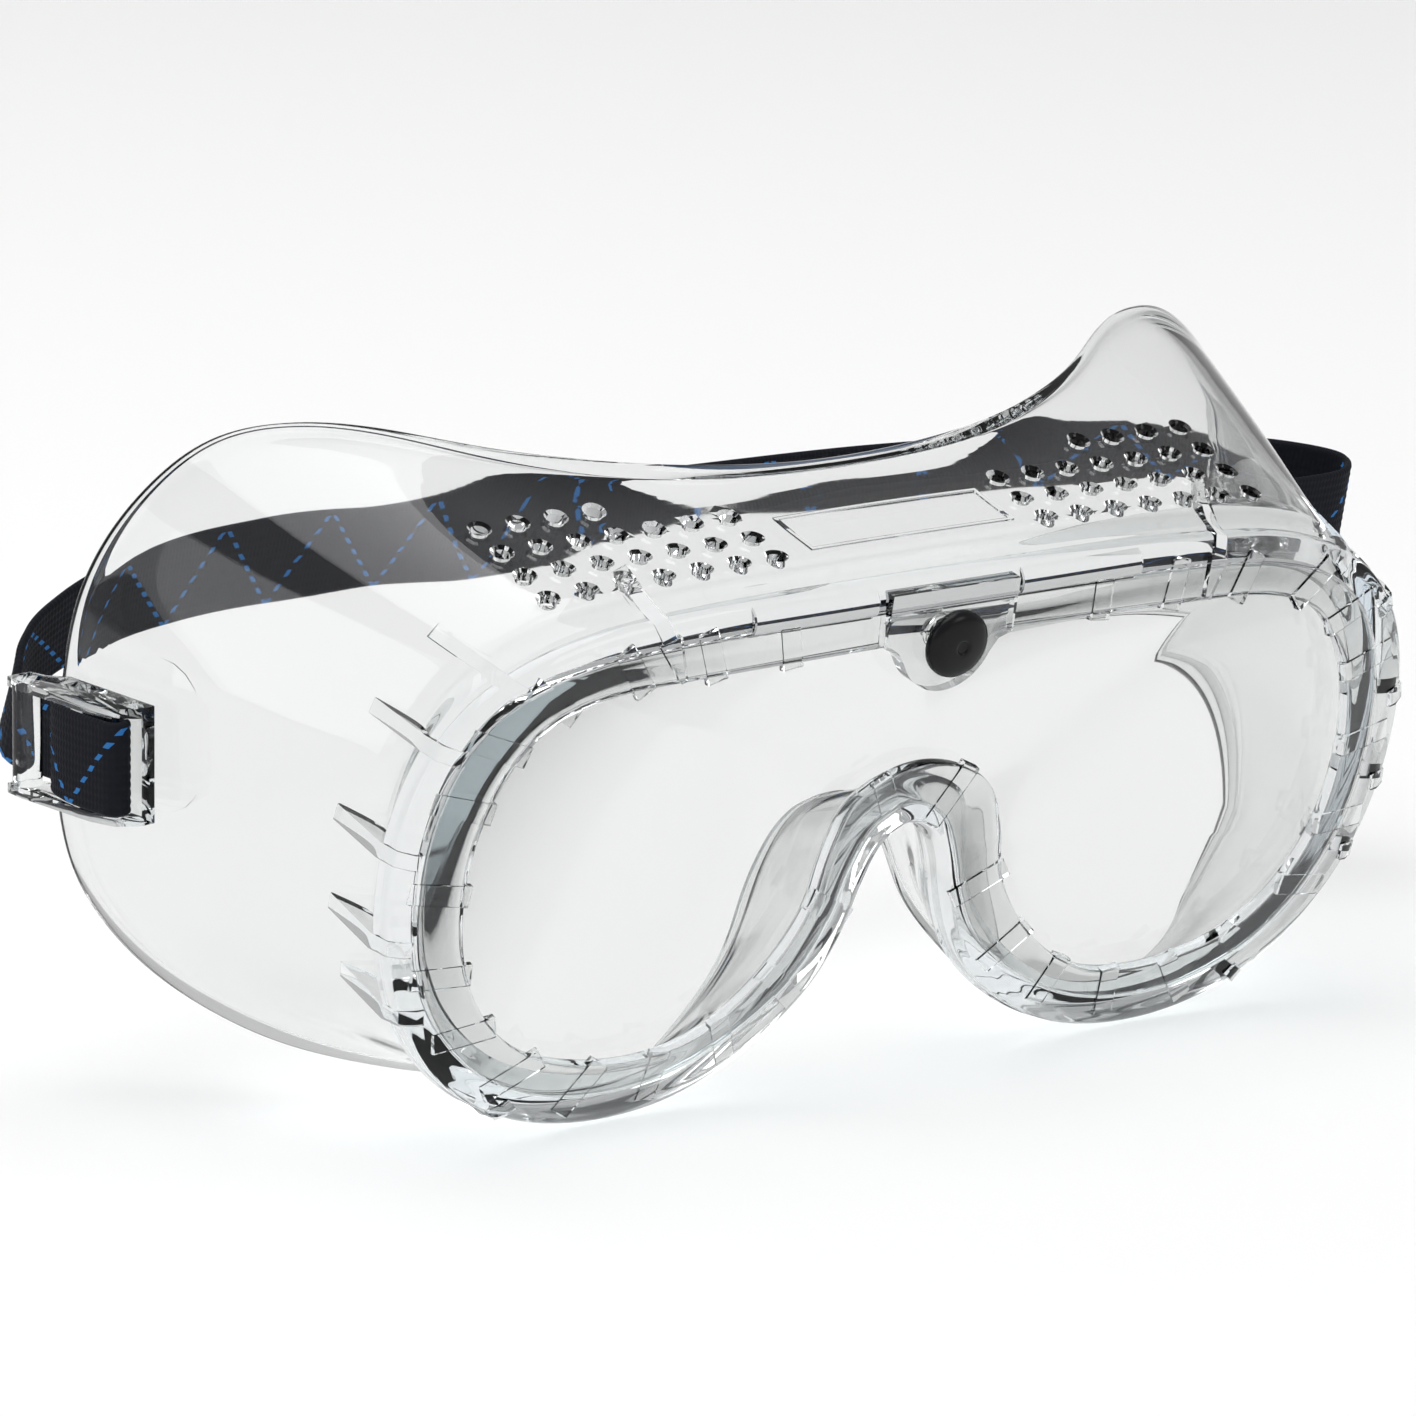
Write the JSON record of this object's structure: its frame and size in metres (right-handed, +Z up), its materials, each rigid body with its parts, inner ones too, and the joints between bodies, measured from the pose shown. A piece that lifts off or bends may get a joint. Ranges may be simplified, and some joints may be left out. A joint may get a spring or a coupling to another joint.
{
  "type": "safety goggles",
  "caption": "Clear vented safety goggles with a soft one-piece frame, a flat lens, a push button and an elastic head strap on clear clips.",
  "frame": {"origin": "bottom centre of the bounding box, on the surface that the goggles stand on", "axes": "+Z up, -Y out of the front of the lens, +X towards the wearer's left"},
  "size_m": [0.2404, 0.108, 0.0929],
  "materials": {
    "clear_soft_pvc": "clear, glossy",
    "clear_lens": "clear, polished",
    "clear_plastic": "clear, glossy",
    "black_plastic": "satin",
    "black_elastic": "woven, matt, with blue threads"
  },
  "bodies": {
    "mask": {"frame_body": "clear_soft_pvc", "lens": "clear_lens"},
    "button": {"button_head": "black_plastic", "button_stud": "clear_plastic"},
    "headband": {"strap": "black_elastic", "clip_left": "clear_plastic", "clip_right": "clear_plastic"}
  },
  "joints": [
    {"name": "strap_swing", "type": "hinge", "parent": "mask", "child": "headband", "pos_m": [-0.01533, 0.00866, 0.05104], "axis": [1, 0, 0], "range_deg": [-20, 20]},
    {"name": "button_pull", "type": "slide", "parent": "mask", "child": "button", "axis": [0, -0.9724, -0.2334], "range_m": [0, 0.006]}
  ]
}
